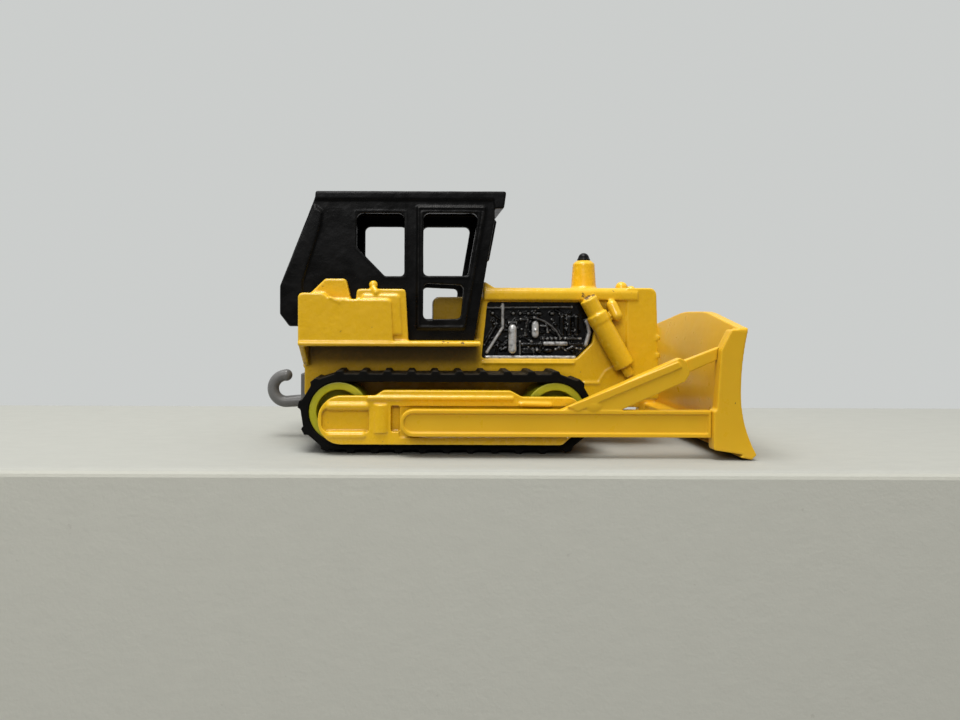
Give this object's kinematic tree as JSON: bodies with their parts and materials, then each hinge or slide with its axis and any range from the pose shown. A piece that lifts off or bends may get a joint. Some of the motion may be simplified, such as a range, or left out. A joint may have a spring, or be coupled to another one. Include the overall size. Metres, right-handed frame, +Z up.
{
  "type": "toy bulldozer",
  "caption": "Pocket-size die-cast crawler bulldozer toy with rubber track belts, roller wheels, closed cab, tow hook and a blade that lifts on push arms.",
  "frame": {"origin": "on the ground under the middle of the whole toy's outline, hook to cutting edge", "axes": "+X forward to the blade, +Y to the machine's left, +Z up"},
  "size_m": [0.0804, 0.041, 0.0435],
  "materials": {
    "yellow_paint": "gloss enamel on zinc casting",
    "blade_plastic": "soft gloss, slightly translucent",
    "black_plastic": "satin",
    "engine_black": "black with worn silver highlights",
    "lime_plastic": "satin",
    "track_rubber": "matt, dusty on top",
    "grey_plastic": "satin",
    "steel": "plain"
  },
  "bodies": {
    "body": {"body_casting": "yellow_paint", "cab_shell": "black_plastic", "radiator_grille": "engine_black", "exhaust_tip": "black_plastic", "engine_insert_right": "engine_black", "engine_insert_left": "engine_black", "chassis_casting": "yellow_paint", "base_plate": "grey_plastic", "base_rivets": "steel", "tow_hook": "grey_plastic", "axle_front": "steel", "axle_rear": "steel", "track_frame_right": "yellow_paint", "track_frame_left": "yellow_paint", "track_belt_right": "track_rubber", "track_belt_left": "track_rubber"},
    "wheel_front_right": {"wheel_front_right": "lime_plastic"},
    "wheel_front_left": {"wheel_front_left": "lime_plastic"},
    "wheel_rear_right": {"wheel_rear_right": "lime_plastic"},
    "wheel_rear_left": {"wheel_rear_left": "lime_plastic"},
    "blade_unit": {"blade": "blade_plastic", "push_arm_right": "blade_plastic", "push_arm_left": "blade_plastic"}
  },
  "joints": [
    {"name": "blade_lift", "type": "hinge", "parent": "body", "child": "blade_unit", "pos_m": [-0.0132, 0, 0.0055], "axis": [0, -1, 0], "range_deg": [0, 24]},
    {"name": "roll_front_right", "type": "hinge", "parent": "body", "child": "wheel_front_right", "pos_m": [0.0099, 0, 0.0067], "axis": [0, 1, 0], "continuous": true},
    {"name": "roll_front_left", "type": "hinge", "parent": "body", "child": "wheel_front_left", "pos_m": [0.0099, 0, 0.0067], "axis": [0, 1, 0], "continuous": true},
    {"name": "roll_rear_right", "type": "hinge", "parent": "body", "child": "wheel_rear_right", "pos_m": [-0.0254, 0, 0.0067], "axis": [0, 1, 0], "continuous": true},
    {"name": "roll_rear_left", "type": "hinge", "parent": "body", "child": "wheel_rear_left", "pos_m": [-0.0254, 0, 0.0067], "axis": [0, 1, 0], "continuous": true}
  ],
  "couplings": [
    {"joint": "roll_rear_right", "follows": "roll_front_right", "ratio": 1},
    {"joint": "roll_rear_left", "follows": "roll_front_left", "ratio": 1}
  ]
}
